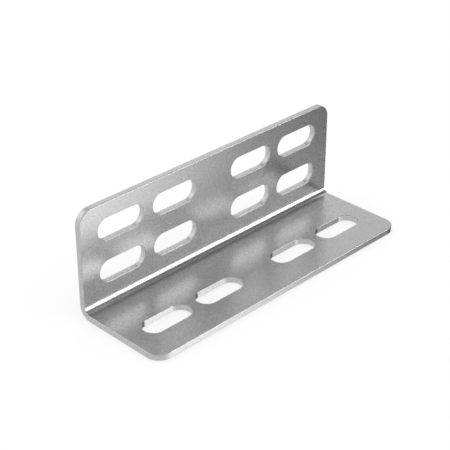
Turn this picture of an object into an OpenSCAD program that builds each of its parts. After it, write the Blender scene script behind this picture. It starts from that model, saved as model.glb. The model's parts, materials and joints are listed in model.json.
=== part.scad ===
// Slotted angle plate for joining and mending: one piece of steel sheet, punched with slots and folded once.
// All sizes are in millimetres. X runs along the fold. The base flange lies on Z = 0 and reaches forward (-Y),
// and the upright flange stands at the back (+Y). The origin is under the middle of the plate.

/* [Sheet] */
// Thickness of the steel sheet
sheet_t = 2; // [1:0.1:3]
// Inside radius of the fold
fold_r = 2; // [0.5:0.1:3]
// Width of the break on all punched edges
edge_break = 0.1; // [0.05:0.05:0.4]

/* [Flanges] */
// Length of the plate along the fold
plate_len = 102; // [92:1:200]
// Height of the upright flange, from the underside to its free edge
upright_h = 34; // [31:0.5:80]
// Width of the base flange, from the back to its free edge
base_w = 32.5; // [27:0.5:80]
// Radius of the flanges' free corners
corner_r = 4.5; // [1:0.5:8]

/* [Slots] */
// Width of a slot
slot_w = 7; // [4:0.1:9]
// Length of a slot, from end to end
slot_len = 17; // [10:0.5:19]
// Distance between the middles of the two slots of a pair
pair_pitch = 20.5; // [18.5:0.5:24]
// Distance between the middles of the two slots beside the plate's middle
middle_pitch = 31.5; // [19:0.5:40]
// Height of the upright flange's lower row above the underside
low_row = 12.1; // [8:0.1:16]
// Distance between the upright flange's two rows
row_pitch = 13.5; // [9:0.1:17]
// Distance of the base flange's row from the back
base_row = 20; // [9:0.5:28]

/* [Hidden] */
$fn = 96;
// Outside radius of the fold
fold_out = fold_r + sheet_t;
// Middles of the four slots of every row, along the plate
columns = [for (side = [-1, 1], step = [0, 1]) side * (middle_pitch / 2 + step * pair_pitch)];
// How far a slot's cutter runs past both faces of the sheet
cut_over = 0.5;

// Section of a strip of sheet, x across the strip and y through the sheet, with its free edge at x = width
module edge_section(width) {
    polygon([
        [0, 0],
        [width - edge_break, 0],
        [width, edge_break],
        [width, sheet_t - edge_break],
        [width - edge_break, sheet_t],
        [0, sheet_t]
    ]);
}

// Section of the whole sheet, from one end of the plate to the other
module sheet_section() {
    for (side = [0, 1]) mirror([side, 0]) edge_section(plate_len / 2);
}

// A flange lying flat: y runs out from the heel of the fold to the free edge, and z = 0 is the outer face
module flange(reach) {
    corner_x = plate_len / 2 - corner_r;
    corner_y = reach - corner_r;
    // From the fold to the corners
    translate([0, corner_y, 0]) rotate([90, 0, 0]) linear_extrude(corner_y - fold_out) sheet_section();
    // Along the free edge, between the corners
    translate([-corner_x, corner_y, 0]) rotate([90, 0, 90]) linear_extrude(2 * corner_x) edge_section(corner_r);
    // The two round corners
    for (side = [0, 1]) mirror([side, 0, 0])
        translate([corner_x, corner_y, 0]) rotate_extrude(angle = 90) edge_section(corner_r);
}

// The quarter turn that joins the two flanges, about its own axis along X
module fold() {
    rotate([0, 90, 0]) rotate_extrude(angle = 90) translate([fold_out, 0]) rotate(90) sheet_section();
}

// Half of a slot's section, x out from its middle and y through the sheet, opening out at both faces
module slot_section() {
    half_w = slot_w / 2;
    mouth = half_w + edge_break + cut_over;
    polygon([
        [0, -cut_over],
        [mouth, -cut_over],
        [half_w, edge_break],
        [half_w, sheet_t - edge_break],
        [mouth, sheet_t + cut_over],
        [0, sheet_t + cut_over]
    ]);
}

// Cutter for one slot in a flange lying flat: two round ends and the straight part between them
module slot_cutter() {
    travel = slot_len - slot_w;
    for (side = [-1, 1]) translate([side * travel / 2, 0, 0]) rotate_extrude() slot_section();
    translate([-travel / 2, 0, 0]) rotate([90, 0, 90]) linear_extrude(travel)
        for (side = [0, 1]) mirror([side, 0]) slot_section();
}

// A flange with its rows of slots, each row at its distance from the heel
module slotted_flange(reach, rows) {
    difference() {
        flange(reach);
        for (x = columns, y = rows) translate([x, y, 0]) slot_cutter();
    }
}

// The whole plate, folded
module angle_plate() {
    back = base_w / 2;
    color([0.68, 0.68, 0.68]) {
        translate([0, back, 0]) rotate([0, 0, 180]) slotted_flange(base_w, [base_row]);
        translate([0, back, 0]) rotate([90, 0, 0]) slotted_flange(upright_h, [low_row, low_row + row_pitch]);
        translate([0, back - fold_out, fold_out]) fold();
    }
}

angle_plate();
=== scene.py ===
# %% [markdown]
# # A slotted angle plate in satin steel
# The object is a mending plate of the angle kind: one strip of sheet steel, punched with round-ended slots
# and folded once to an L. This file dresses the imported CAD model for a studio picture. It is laid out as a
# lesson: each step says what the thing is on the real plate, how it could be made, and why it is made this
# way here.

# %% [markdown]
# ## The frame
# The CAD model is the fixed frame that everything is measured from. Its sizes are not typed in again: the box
# gives the length, depth and height, and the record's mounts give the slots. Only what the frame can't tell,
# such as the radius of the fold, is written here as a value. All lengths are in metres.

# %% Load the frame
import json
import math

import bpy
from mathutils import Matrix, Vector


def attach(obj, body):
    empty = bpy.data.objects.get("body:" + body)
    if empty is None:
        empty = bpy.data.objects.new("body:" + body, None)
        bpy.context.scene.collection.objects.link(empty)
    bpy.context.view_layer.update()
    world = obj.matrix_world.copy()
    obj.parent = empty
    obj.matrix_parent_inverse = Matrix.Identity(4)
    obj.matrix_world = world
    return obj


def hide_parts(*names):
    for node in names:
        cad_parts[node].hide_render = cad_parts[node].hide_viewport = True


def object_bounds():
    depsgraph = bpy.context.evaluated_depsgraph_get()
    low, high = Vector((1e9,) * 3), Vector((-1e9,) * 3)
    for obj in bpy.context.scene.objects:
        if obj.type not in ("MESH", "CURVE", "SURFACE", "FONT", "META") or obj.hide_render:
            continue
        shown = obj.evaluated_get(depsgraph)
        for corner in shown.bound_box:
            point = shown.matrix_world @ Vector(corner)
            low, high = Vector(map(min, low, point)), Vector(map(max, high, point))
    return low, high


MM = 0.001
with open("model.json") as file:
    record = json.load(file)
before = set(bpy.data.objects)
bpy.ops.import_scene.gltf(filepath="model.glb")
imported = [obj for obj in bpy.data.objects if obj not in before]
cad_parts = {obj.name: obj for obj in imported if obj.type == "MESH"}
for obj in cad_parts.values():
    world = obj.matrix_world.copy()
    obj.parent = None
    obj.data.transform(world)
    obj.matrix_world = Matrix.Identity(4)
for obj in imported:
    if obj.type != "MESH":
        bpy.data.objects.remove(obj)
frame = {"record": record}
cad_low, cad_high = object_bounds()
plate_length, base_width, upright_height = cad_high - cad_low
print(f"CAD box {plate_length / MM:.1f} x {base_width / MM:.1f} x {upright_height / MM:.1f} mm")

# %% Read the slots from the record's mounts
mounts = {mount["name"]: mount for mount in frame["record"]["mounts"]}
upright_slots = mounts["upright_slots_right"]
base_slots = mounts["base_slots_right"]
slot_width = 2 * upright_slots["dims"]["hole_r_mm"] * MM
slot_length = upright_slots["dims"]["slot_length_mm"] * MM
pair_pitch = upright_slots["dims"]["spacing_x_mm"] * MM
row_pitch = upright_slots["dims"]["spacing_y_mm"] * MM
pair_middle = upright_slots["pos_m"][0]
sheet = 2 * base_slots["pos_m"][2]
base_row = base_slots["pos_m"][1]
upper_row = upright_slots["pos_m"][2] + row_pitch / 2
lower_row = upright_slots["pos_m"][2] - row_pitch / 2
print(f"slots {slot_length / MM:.1f} x {slot_width / MM:.1f} mm in {sheet / MM:.1f} mm sheet")

# %% Sizes that the frame does not state
HALF_TURN = math.pi
QUARTER_TURN = math.pi / 2
fold_inside = 2.0 * MM
corner_radius = 4.5 * MM
edge_round = 0.2 * MM
fold_middle = fold_inside + sheet / 2
fold_outside = fold_inside + sheet
fold_length = fold_middle * QUARTER_TURN
base_flat = base_width - fold_outside
upright_flat = upright_height - fold_outside
print(f"flat blank {(base_flat + fold_length + upright_flat) / MM:.1f} mm wide before folding")

# %% [markdown]
# ## Helpers for a node tree
# A node tree can be wired by hand in the editor or built by a script. A script is easier to read back if each
# node is one line, so `add` makes a node, plugs values or other nodes' outlets into it by name, and hands back
# its first outlet. `calculate`, `vector`, `moved` and `joined` cover the small jobs that come up most.

# %% Node helpers
def plug(tree, socket, value):
    """Links an outlet to a socket, or sets a plain value on it."""
    if isinstance(value, bpy.types.NodeSocket):
        tree.links.new(value, socket)
    else:
        socket.default_value = value


def add(tree, kind, settings=None, **plugs):
    """Adds one node. A plug's name is the socket's, with _ for a space; its value is a number or an outlet."""
    node = tree.nodes.new(kind)
    for name, value in (settings or {}).items():
        setattr(node, name, value)
    for name, value in plugs.items():
        plug(tree, node.inputs[name.replace("_", " ")], value)
    return node.outputs[0]


def calculate(tree, operation, *values):
    """One Math node over numbers or outlets."""
    node = tree.nodes.new("ShaderNodeMath")
    node.operation = operation
    for socket, value in zip(node.inputs, values):
        plug(tree, socket, value)
    return node.outputs[0]


def vector(tree, x=0.0, y=0.0, z=0.0):
    """One Combine XYZ node."""
    return add(tree, "ShaderNodeCombineXYZ", X=x, Y=y, Z=z)


def moved(tree, geometry, place=(0, 0, 0), turn=0.0):
    """Geometry turned about Z and then moved."""
    return add(tree, "GeometryNodeTransform", Geometry=geometry, Translation=place, Rotation=(0, 0, turn))


def joined(tree, *geometries):
    """Several geometries in one."""
    node = tree.nodes.new("GeometryNodeJoinGeometry")
    for geometry in geometries:
        tree.links.new(geometry, node.inputs[0])
    return node.outputs[0]


print("node helpers ready")

# %% [markdown]
# ## The sheet, as a tree that punches and folds
# The real plate starts as a flat blank. The slots are punched, the edges are broken, and a press folds it. The
# same shape could be cut out of blocks with booleans, but those leave sharp edges and long slivers. Following
# the real process keeps every face clean, and it starts with the outlines: the free edge of a flange, which is
# open towards the fold, and the slots, which stand in pairs on both sides of the plate's middle.

# %% Outlines in the flat
ARC_STEPS = 12
ALMOST_HALF = 0.499


def rounded(tree, curve, radius, steps):
    """Rounds a curve's corners with arcs of straight steps."""
    return add(tree, "GeometryNodeFilletCurve", {"mode": "POLY"}, Curve=curve, Radius=radius, Count=steps,
               Limit_Radius=True)


def open_rectangle(tree, width, height, radius, steps):
    """Three sides of a rectangle, open towards +X, with its two corners rounded."""
    rectangle = add(tree, "GeometryNodeCurvePrimitiveQuadrilateral", Width=width, Height=height)
    three_sides = add(tree, "GeometryNodeSetSplineCyclic", Geometry=rectangle, Cyclic=False)
    return rounded(tree, three_sides, radius, steps)


def slot_outline(tree, length, width):
    """A round-ended slot. Its arcs stop a hair short of meeting, so that no two points share a place."""
    rectangle = add(tree, "GeometryNodeCurvePrimitiveQuadrilateral", Width=length, Height=width)
    outline = rounded(tree, rectangle, calculate(tree, "MULTIPLY", width, ALMOST_HALF), ARC_STEPS)
    return add(tree, "GeometryNodeReverseCurve", Curve=outline)


def slot_row(tree, outline, pitch, middle, row):
    """Four slots in a row: a pair on each side of the plate's middle."""
    half_pitch = calculate(tree, "MULTIPLY", pitch, 0.5)
    pair_start = vector(tree, calculate(tree, "MULTIPLY", half_pitch, -1.0))
    pair = add(tree, "GeometryNodeMeshLine", Count=2, Start_Location=pair_start, Offset=vector(tree, pitch))
    sides_start = vector(tree, calculate(tree, "MULTIPLY", middle, -1.0), row)
    sides_step = vector(tree, calculate(tree, "MULTIPLY", middle, 2.0))
    sides = add(tree, "GeometryNodeMeshLine", Count=2, Start_Location=sides_start, Offset=sides_step)
    slots = add(tree, "GeometryNodeInstanceOnPoints", Points=pair, Instance=outline)
    both = add(tree, "GeometryNodeInstanceOnPoints", Points=sides, Instance=slots)
    return add(tree, "GeometryNodeRealizeInstances", Geometry=both)


print(f"outlines with arcs of {ARC_STEPS} steps")

# %% [markdown]
# ## Rims and faces
# Punching and deburring leave every edge of the real sheet slightly round, and that rounding catches the light.
# A Bevel modifier could round a finished solid. Sweeping one small profile along each flat outline gives the
# rounding and the sheet's thickness in one go, and leaves two clean borders. The upper borders are filled with
# one face, and its copy turned over is the other side of the sheet.

# %% Rims and faces
EDGE_STEPS = 4
HAIR = 0.001 * MM
ONE_FACE = 1.0
COUNT_TOLERANCE = 0.1


def edge_profile(tree, size):
    """The section of an edge: round from one face, across the sheet and round to the other face."""
    profile = open_rectangle(tree, size["Edge round"], size["Sheet"], size["Edge round"], EDGE_STEPS)
    into_the_sheet = vector(tree, calculate(tree, "MULTIPLY", size["Edge round"], -0.5))
    return moved(tree, profile, into_the_sheet, HALF_TURN)


def swept_rim(tree, outlines, profile):
    """The edge profile swept along flat outlines, with the sheet on the left of their direction."""
    level = add(tree, "GeometryNodeSetCurveNormal", {"mode": "Z_UP"}, Curve=outlines)
    return add(tree, "GeometryNodeCurveToMesh", Curve=level, Profile_Curve=profile)


def both_faces(tree, face, half_sheet):
    """A flat face as the inner face of the sheet, and its copy turned over as the outer face."""
    inner = moved(tree, face, vector(tree, z=half_sheet))
    turned_over = add(tree, "GeometryNodeFlipFaces", Mesh=face)
    outer = moved(tree, turned_over, vector(tree, z=calculate(tree, "MULTIPLY", half_sheet, -1.0)))
    return joined(tree, inner, outer)


def filled_faces(tree, rim, half_sheet):
    """The two faces between the rims: the rims' upper borders are closed and filled."""
    position = add(tree, "ShaderNodeSeparateXYZ", Vector=add(tree, "GeometryNodeInputPosition")).node.outputs
    almost_top = calculate(tree, "SUBTRACT", half_sheet, 2 * HAIR)
    top = calculate(tree, "GREATER_THAN", position["Z"], almost_top)
    neighbours = add(tree, "GeometryNodeInputMeshEdgeNeighbors")
    lone = calculate(tree, "COMPARE", neighbours, ONE_FACE, COUNT_TOLERANCE)
    border = add(tree, "GeometryNodeMeshToCurve", Mesh=rim, Selection=calculate(tree, "MULTIPLY", top, lone))
    loops = add(tree, "GeometryNodeSetSplineCyclic", Geometry=border, Cyclic=True)
    face = add(tree, "GeometryNodeFillCurve", {"mode": "NGONS"}, Curve=loops)
    return both_faces(tree, face, half_sheet)


print(f"edges rounded to {edge_round / MM:.1f} mm in {EDGE_STEPS} steps")

# %% [markdown]
# ## The fold
# A press bends the blank round a bar, so the sheet keeps its thickness, and the inner and the outer curve share
# one axis. A Simple Deform modifier bends a mesh too, but its sizes are harder to hold. Here the strip between
# the flanges has many narrow faces, and one Set Position node rolls it round the axis by plain trigonometry and
# stands up what lies beyond it.

# %% The strip that is rolled, and the fold
FOLD_STEPS = 24


def strip_to_roll(tree, size, half_sheet, profile):
    """The strip between the flanges: a rim at each end and a row of narrow faces on both sides."""
    half_length = calculate(tree, "MULTIPLY", size["Plate length"], 0.5)
    right_end = add(tree, "GeometryNodeCurvePrimitiveLine", Start=vector(tree, half_length),
                    End=vector(tree, half_length, size["Fold length"]))
    left_end = moved(tree, right_end, vector(tree, y=size["Fold length"]), HALF_TURN)
    ends = add(tree, "GeometryNodeResampleCurve", Curve=joined(tree, right_end, left_end),
               Count=FOLD_STEPS + 1)
    strip_length = calculate(tree, "MULTIPLY_ADD", size["Edge round"], -2.0, size["Plate length"])
    strip = add(tree, "GeometryNodeMeshGrid", Size_X=strip_length, Size_Y=size["Fold length"], Vertices_X=2,
                Vertices_Y=FOLD_STEPS + 1)
    strip = moved(tree, strip, vector(tree, y=calculate(tree, "MULTIPLY", size["Fold length"], 0.5)))
    return joined(tree, swept_rim(tree, ends, profile), both_faces(tree, strip, half_sheet))


def folded(tree, blank, size):
    """Rolls the strip that starts at y = 0 round a quarter turn, and stands up what lies beyond it."""
    position = add(tree, "ShaderNodeSeparateXYZ", Vector=add(tree, "GeometryNodeInputPosition")).node.outputs
    share = calculate(tree, "DIVIDE", position["Y"], size["Fold length"])
    share.node.use_clamp = True
    angle = calculate(tree, "MULTIPLY", share, QUARTER_TURN)
    reach = calculate(tree, "SUBTRACT", size["Fold middle radius"], position["Z"])
    before = calculate(tree, "MINIMUM", position["Y"], 0.0)
    past_strip = calculate(tree, "SUBTRACT", position["Y"], size["Fold length"])
    beyond = calculate(tree, "MAXIMUM", past_strip, 0.0)
    along = calculate(tree, "MULTIPLY_ADD", reach, calculate(tree, "SINE", angle), before)
    drop = calculate(tree, "MULTIPLY", reach, calculate(tree, "COSINE", angle))
    height = calculate(tree, "SUBTRACT", beyond, drop)
    place = vector(tree, position["X"], calculate(tree, "ADD", along, size["Fold axis Y"]),
                   calculate(tree, "ADD", height, size["Fold axis Z"]))
    return add(tree, "GeometryNodeSetPosition", Geometry=blank, Position=place)


print(f"fold of {fold_inside / MM:.1f} mm inside radius in {FOLD_STEPS} steps")

# %% [markdown]
# ## The whole tree
# The sizes become named inputs, so that the plate can be changed in the modifier's panel as well as here. The
# two flanges differ only in their width, their place and their rows of slots, so one function makes both. The
# base flange lies before y = 0 and the upright flange beyond the strip that is rolled.

# %% The sizes as inputs, and one flange
SIZES = {
    "Plate length": plate_length,
    "Base flat": base_flat,
    "Upright flat": upright_flat,
    "Sheet": sheet,
    "Fold length": fold_length,
    "Fold middle radius": fold_middle,
    "Fold axis Y": cad_high.y - fold_outside,
    "Fold axis Z": cad_low.z + fold_outside,
    "Corner radius": corner_radius,
    "Edge round": edge_round,
    "Slot length": slot_length,
    "Slot width": slot_width,
    "Pair pitch": pair_pitch,
    "Pair middle": pair_middle,
    "Base row": base_row - (cad_high.y - fold_outside),
    "Lower row": lower_row - fold_outside + fold_length,
    "Upper row": upper_row - fold_outside + fold_length,
}


def flange(tree, size, half_sheet, profile, flat, middle, turn, rows):
    """One flange lying flat, punched and rimmed, with its open side towards the fold."""
    free_edge = open_rectangle(tree, flat, size["Plate length"], size["Corner radius"], ARC_STEPS)
    outlines = [moved(tree, free_edge, vector(tree, y=middle), turn)]
    slot = slot_outline(tree, size["Slot length"], size["Slot width"])
    for row in rows:
        outlines.append(slot_row(tree, slot, size["Pair pitch"], size["Pair middle"], size[row]))
    rim = swept_rim(tree, joined(tree, *outlines), profile)
    return joined(tree, rim, filled_faces(tree, rim, half_sheet))


print(f"{len(SIZES)} sizes for the tree")

# %% The tree from outlines to folded plate
def sheet_tree(name):
    """The tree that draws, punches, rims and folds the plate."""
    tree = bpy.data.node_groups.new(name, "GeometryNodeTree")
    for size_name in SIZES:
        tree.interface.new_socket(size_name, in_out="INPUT", socket_type="NodeSocketFloat")
    tree.interface.new_socket("Finish", in_out="INPUT", socket_type="NodeSocketMaterial")
    tree.interface.new_socket("Geometry", in_out="OUTPUT", socket_type="NodeSocketGeometry")
    size = tree.nodes.new("NodeGroupInput").outputs
    half_sheet = calculate(tree, "MULTIPLY", size["Sheet"], 0.5)
    profile = edge_profile(tree, size)
    base_middle = calculate(tree, "MULTIPLY", size["Base flat"], -0.5)
    base = flange(tree, size, half_sheet, profile, size["Base flat"], base_middle, QUARTER_TURN, ["Base row"])
    upright_middle = calculate(tree, "MULTIPLY_ADD", size["Upright flat"], 0.5, size["Fold length"])
    upright = flange(tree, size, half_sheet, profile, size["Upright flat"], upright_middle, -QUARTER_TURN,
                     ["Lower row", "Upper row"])
    roll = strip_to_roll(tree, size, half_sheet, profile)
    blank = add(tree, "GeometryNodeMergeByDistance", Geometry=joined(tree, base, roll, upright), Distance=HAIR)
    smooth = add(tree, "GeometryNodeSetShadeSmooth", Geometry=folded(tree, blank, size))
    whole = add(tree, "GeometryNodeRealizeInstances", Geometry=smooth)
    finished = add(tree, "GeometryNodeSetMaterial", Geometry=whole, Material=size["Finish"])
    output = tree.nodes.new("NodeGroupOutput")
    tree.links.new(finished, output.inputs["Geometry"])
    return tree


punch_and_fold = sheet_tree("punch_and_fold")
print(f"tree with {len(punch_and_fold.nodes)} nodes")

# %% [markdown]
# ## Satin steel
# The sheet is bare steel with a satin skin: it mirrors the room, but softly, and a fine grain of crystals
# speckles every face, most of all beside the fold. A flat grey would look like paint. A metal shader with a
# fairly low roughness gives the soft mirror. Cells of a Voronoi texture, each with a tone of its own, are the
# crystals, and a wide noise lets the tone of the sheet drift a little, as rolled steel does. A finer noise is
# the satin: it bumps the surface and varies the roughness. All of them read the object's own coordinates, so
# the grain stays on the steel from every side.

# %% How strong the grain is
WORKED_NEAR = 8 * MM
WORKED_FAR = 24 * MM
FAR_GRAIN = 0.45


def grain_strength(tree, place):
    """Full near the fold, where the press worked the steel, and weaker towards the free edges."""
    position = add(tree, "ShaderNodeSeparateXYZ", Vector=place).node.outputs
    from_back = calculate(tree, "SUBTRACT", cad_high.y, position["Y"])
    height = calculate(tree, "SUBTRACT", position["Z"], cad_low.z)
    height_squared = calculate(tree, "MULTIPLY", height, height)
    from_heel = calculate(tree, "SQRT", calculate(tree, "MULTIPLY_ADD", from_back, from_back, height_squared))
    return add(tree, "ShaderNodeMapRange", {"interpolation_type": "SMOOTHSTEP"}, Value=from_heel,
               From_Min=WORKED_NEAR, From_Max=WORKED_FAR, To_Min=1.0, To_Max=FAR_GRAIN)


print(f"full grain within {WORKED_NEAR / MM:.0f} mm of the heel, {FAR_GRAIN:.0%} past {WORKED_FAR / MM:.0f} mm")

# %% Steel material
CRYSTAL_SIZE = 0.22 * MM
CRYSTAL_SHARE = 0.93
MIDDLE_TONE = 0.5
DRIFT_SIZE = 9 * MM
DRIFT_DETAIL = 3.0
STEEL_DARK = (0.53, 0.53, 0.53, 1)
STEEL_LIGHT = (0.89, 0.89, 0.89, 1)
SATIN_SIZE = 0.3 * MM
SATIN_DETAIL = 2.0
SATIN_DEPTH = 0.002 * MM
SATIN_SMOOTHEST = 0.245
SATIN_ROUGHEST = 0.315


def steel_tone(tree, place):
    """The steel's colour: crystals of many greys, over a slow drift of tone."""
    cells = add(tree, "ShaderNodeTexVoronoi", Vector=place, Scale=1 / CRYSTAL_SIZE).node.outputs["Color"]
    cell_tone = add(tree, "ShaderNodeSeparateColor", Color=cells)
    from_middle = calculate(tree, "SUBTRACT", cell_tone, MIDDLE_TONE)
    crystals = calculate(tree, "MULTIPLY_ADD", from_middle, grain_strength(tree, place), MIDDLE_TONE)
    drift = add(tree, "ShaderNodeTexNoise", Vector=place, Scale=1 / DRIFT_SIZE, Detail=DRIFT_DETAIL)
    drift_part = calculate(tree, "MULTIPLY", drift, 1 - CRYSTAL_SHARE)
    mixed = calculate(tree, "MULTIPLY_ADD", crystals, CRYSTAL_SHARE, drift_part)
    tone = add(tree, "ShaderNodeValToRGB", Fac=mixed)
    dark, light = tone.node.color_ramp.elements
    dark.color, light.color = STEEL_DARK, STEEL_LIGHT
    return tone


def satin_steel(name):
    """A metal that mirrors softly, with a fine satin skin."""
    material = bpy.data.materials.new(name)
    material.use_nodes = True
    tree = material.node_tree
    shader = tree.nodes["Principled BSDF"]
    shader.inputs["Metallic"].default_value = 1.0
    place = tree.nodes.new("ShaderNodeTexCoord").outputs["Object"]
    satin = add(tree, "ShaderNodeTexNoise", Vector=place, Scale=1 / SATIN_SIZE, Detail=SATIN_DETAIL)
    softness = add(tree, "ShaderNodeMapRange", Value=satin, To_Min=SATIN_SMOOTHEST, To_Max=SATIN_ROUGHEST)
    plug(tree, shader.inputs["Base Color"], steel_tone(tree, place))
    plug(tree, shader.inputs["Roughness"], softness)
    plug(tree, shader.inputs["Normal"], add(tree, "ShaderNodeBump", Height=satin, Distance=SATIN_DEPTH))
    return material


steel = satin_steel("satin_steel")
print(f"steel with crystals of {CRYSTAL_SIZE / MM:.2f} mm")

# %% [markdown]
# ## Pressing the plate
# Now the tree runs once, as the press does. Its modifier could stay on the object, but a plain mesh is safer to
# hand on: it needs no tree to be drawn, moved or exported. Weighted normals keep the wide faces flat in the
# light and let only the rounded edges turn it.

# %% Make the plate
FLAT_FACE_WEIGHT = 100


def baked_plate(tree, finish):
    """Runs the tree on an empty mesh and keeps the result as a plain mesh."""
    seed = bpy.data.objects.new("blank", bpy.data.meshes.new("blank"))
    bpy.context.scene.collection.objects.link(seed)
    modifier = seed.modifiers.new("punch and fold", "NODES")
    modifier.node_group = tree
    for item in tree.interface.items_tree:
        if item.in_out == "INPUT":
            modifier[item.identifier] = finish if item.name == "Finish" else SIZES[item.name]
    normals = seed.modifiers.new("face weighted normals", "WEIGHTED_NORMAL")
    normals.weight = FLAT_FACE_WEIGHT
    evaluated = seed.evaluated_get(bpy.context.evaluated_depsgraph_get())
    mesh = bpy.data.meshes.new_from_object(evaluated)
    bpy.data.objects.remove(seed)
    return mesh


plate_mesh = baked_plate(punch_and_fold, steel)
plate_mesh.name = "slotted_plate"
plate = bpy.data.objects.new("slotted_plate", plate_mesh)
bpy.context.scene.collection.objects.link(plate)
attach(plate, "root")
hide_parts("angle_plate")
print(f"plate with {len(plate_mesh.vertices)} points and {len(plate_mesh.polygons)} faces")

# %% [markdown]
# ## Camera
# The picture is taken from the front left, half-way between a front and an end view and 30 degrees up, through
# a long lens, which keeps the flanges nearly parallel. Aim, distance and lens were found from the picture's own
# perspective.

# %% Camera
VIEW_AZIMUTH = math.radians(-45)
VIEW_ELEVATION = math.radians(30)
AIM = Vector((0.3, 9.9, 11.6)) * MM
DISTANCE = 380 * MM
LENS_MM = 101.4
SENSOR_MM = 36
NEAREST_SEEN = 10 * MM
towards_camera = Vector((
    math.sin(VIEW_AZIMUTH) * math.cos(VIEW_ELEVATION),
    -math.cos(VIEW_AZIMUTH) * math.cos(VIEW_ELEVATION),
    math.sin(VIEW_ELEVATION),
))
camera = bpy.data.objects.new("camera", bpy.data.cameras.new("camera"))
camera.data.lens = LENS_MM
camera.data.sensor_width = SENSOR_MM
camera.data.clip_start = NEAREST_SEEN
camera.location = AIM + towards_camera * DISTANCE
camera.rotation_euler = towards_camera.to_track_quat("Z", "Y").to_euler()
bpy.context.scene.collection.objects.link(camera)
bpy.context.scene.camera = camera
print("camera at", [round(value / MM, 1) for value in camera.location], "mm")

# %% [markdown]
# ## The floor
# The plate lies on a plain white floor that looks as bright as the air round it, with only a faint shadow.
# Small products are often photographed on a light table, a white sheet that glows from below, so the shadow
# never gets dark. Here the floor's material glows by itself and takes a little light from above as well. The
# steel doesn't mirror the floor, so that each face can mirror a soft card that stands lower than the floor.

# %% Floor
FLOOR_HALF = 3.0
FLOOR_TONE = (0.19, 0.19, 0.19, 1)
FLOOR_GLOW = 0.69
WHITE = (1, 1, 1, 1)


def pale_floor(name):
    """A square sheet on the ground that glows evenly."""
    corners = [(x * FLOOR_HALF, y * FLOOR_HALF, 0) for x, y in ((-1, -1), (1, -1), (1, 1), (-1, 1))]
    mesh = bpy.data.meshes.new(name)
    mesh.from_pydata(corners, [], [(0, 1, 2, 3)])
    table = bpy.data.materials.new(name)
    table.use_nodes = True
    shader = table.node_tree.nodes["Principled BSDF"]
    shader.inputs["Base Color"].default_value = FLOOR_TONE
    shader.inputs["Specular IOR Level"].default_value = 0.0
    shader.inputs["Emission Color"].default_value = WHITE
    shader.inputs["Emission Strength"].default_value = FLOOR_GLOW
    mesh.materials.append(table)
    light_table = bpy.data.objects.new(name, mesh)
    bpy.context.scene.collection.objects.link(light_table)
    light_table.visible_glossy = False
    return light_table


floor = pale_floor("pale_floor")
print(f"floor {2 * FLOOR_HALF:.0f} m across")

# %% [markdown]
# ## Lamps, cards and flags round the plate
# Metal has no look of its own: it shows what stands round it. A product studio sets lamps, white cards and dark
# flags round a piece of metal until each face mirrors the tone it should have. They could be planes with an
# emitting material, but a far soft patch of the world is simpler: it is a bell curve about one direction, with
# no edge to be seen. Each has a name, a direction and a spread (where it has fallen to half) in degrees, and a
# strength, over a plain grey room. The narrow bare lamp draws the bright band in the fold and the thin lines on
# the rounded edges, the cards shade the wide faces, and a negative strength is a dark flag.

# %% The cards
ROOM_GREY = 0.68
DARKEST = 0.04
CARDS = {
    "bare lamp": dict(azimuth=-52, elevation=8, spread=7, strength=7.2),
    "screen beside the lamp": dict(azimuth=-65, elevation=12, spread=14, strength=0.9),
    "low card before the upright": dict(azimuth=-46, elevation=-29.5, spread=8, strength=2.55),
    "high lamp for the edges": dict(azimuth=-62, elevation=71, spread=11.5, strength=2.9),
    "card behind": dict(azimuth=46.5, elevation=26.5, spread=10.5, strength=0.5),
    "high card behind": dict(azimuth=15, elevation=46, spread=11, strength=1.1),
    "wide wall on the left": dict(azimuth=111, elevation=43, spread=30, strength=0.7),
    "low flag on the right": dict(azimuth=-39.5, elevation=-22, spread=8, strength=-5.1),
    "lowest flag on the right": dict(azimuth=-27, elevation=-21, spread=12, strength=-0.8),
    "high flag on the right": dict(azimuth=-14.5, elevation=73.5, spread=48, strength=-0.9),
    "flag in front": dict(azimuth=-86, elevation=18, spread=10, strength=-5.4),
    "card before the near corner": dict(azimuth=-76, elevation=-36, spread=9, strength=0.3),
    "flag at the far corner": dict(azimuth=-14, elevation=-33, spread=10, strength=-0.6),
}
print(f"{len(CARDS)} lamps, cards and flags")

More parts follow.
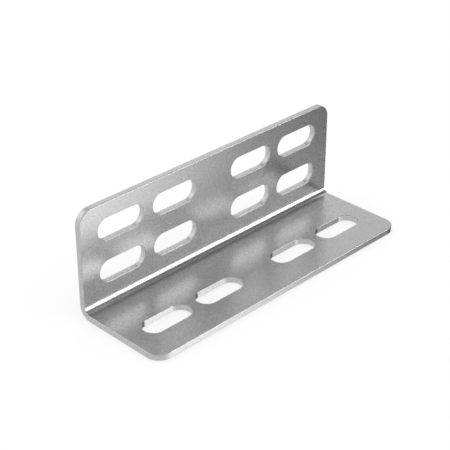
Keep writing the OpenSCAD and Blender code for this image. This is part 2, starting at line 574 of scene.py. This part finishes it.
# %% The room that they make
def soft_card(tree, direction, azimuth, elevation, spread):
    """How much of a card shows in a direction: 1 in its middle, one half at its spread."""
    azimuth, elevation, spread = (math.radians(angle) for angle in (azimuth, elevation, spread))
    level = math.cos(elevation)
    facing = tree.nodes.new("ShaderNodeVectorMath")
    facing.operation = "DOT_PRODUCT"
    plug(tree, facing.inputs[0], direction)
    plug(tree, facing.inputs[1], (level * math.cos(azimuth), level * math.sin(azimuth), math.sin(elevation)))
    sharpness = math.log(2) / (1 - math.cos(spread))
    fall = calculate(tree, "MULTIPLY_ADD", facing.outputs["Value"], sharpness, -sharpness)
    return calculate(tree, "EXPONENT", fall)


def card_room(name):
    """A world of soft cards over a grey room, and plain white where the camera looks past the floor."""
    world = bpy.data.worlds.new(name)
    world.use_nodes = True
    tree = world.node_tree
    background = tree.nodes["Background"]
    direction = tree.nodes.new("ShaderNodeTexCoord").outputs["Generated"]
    light = ROOM_GREY
    for card in CARDS.values():
        shows = soft_card(tree, direction, card["azimuth"], card["elevation"], card["spread"])
        light = calculate(tree, "MULTIPLY_ADD", shows, card["strength"], light)
    light = calculate(tree, "MAXIMUM", light, DARKEST)
    seen = tree.nodes.new("ShaderNodeLightPath").outputs["Is Camera Ray"]
    plug(tree, background.inputs["Color"], WHITE)
    plug(tree, background.inputs["Strength"], calculate(tree, "MAXIMUM", light, seen))
    return world


bpy.context.scene.world = card_room("card_room")
bpy.context.scene.view_settings.view_transform = "Standard"
print(f"room with {len(bpy.context.scene.world.node_tree.nodes)} nodes")

# %% [markdown]
# ## Light for the floor
# The glow alone would leave no shadow at all. A sun lamp with a very wide disc works like a big soft box
# overhead: it adds the last part of the floor's white, and the plate takes some of it away again under and
# behind itself. The steel doesn't mirror it.

# %% Overhead wash
WASH_STRENGTH = 3.5
WASH_ANGLE = math.radians(120)
wash = bpy.data.objects.new("overhead_wash", bpy.data.lights.new("overhead_wash", "SUN"))
wash.data.energy = WASH_STRENGTH
wash.data.angle = WASH_ANGLE
wash.visible_glossy = False
bpy.context.scene.collection.objects.link(wash)
print(f"wash from above with strength {WASH_STRENGTH}")
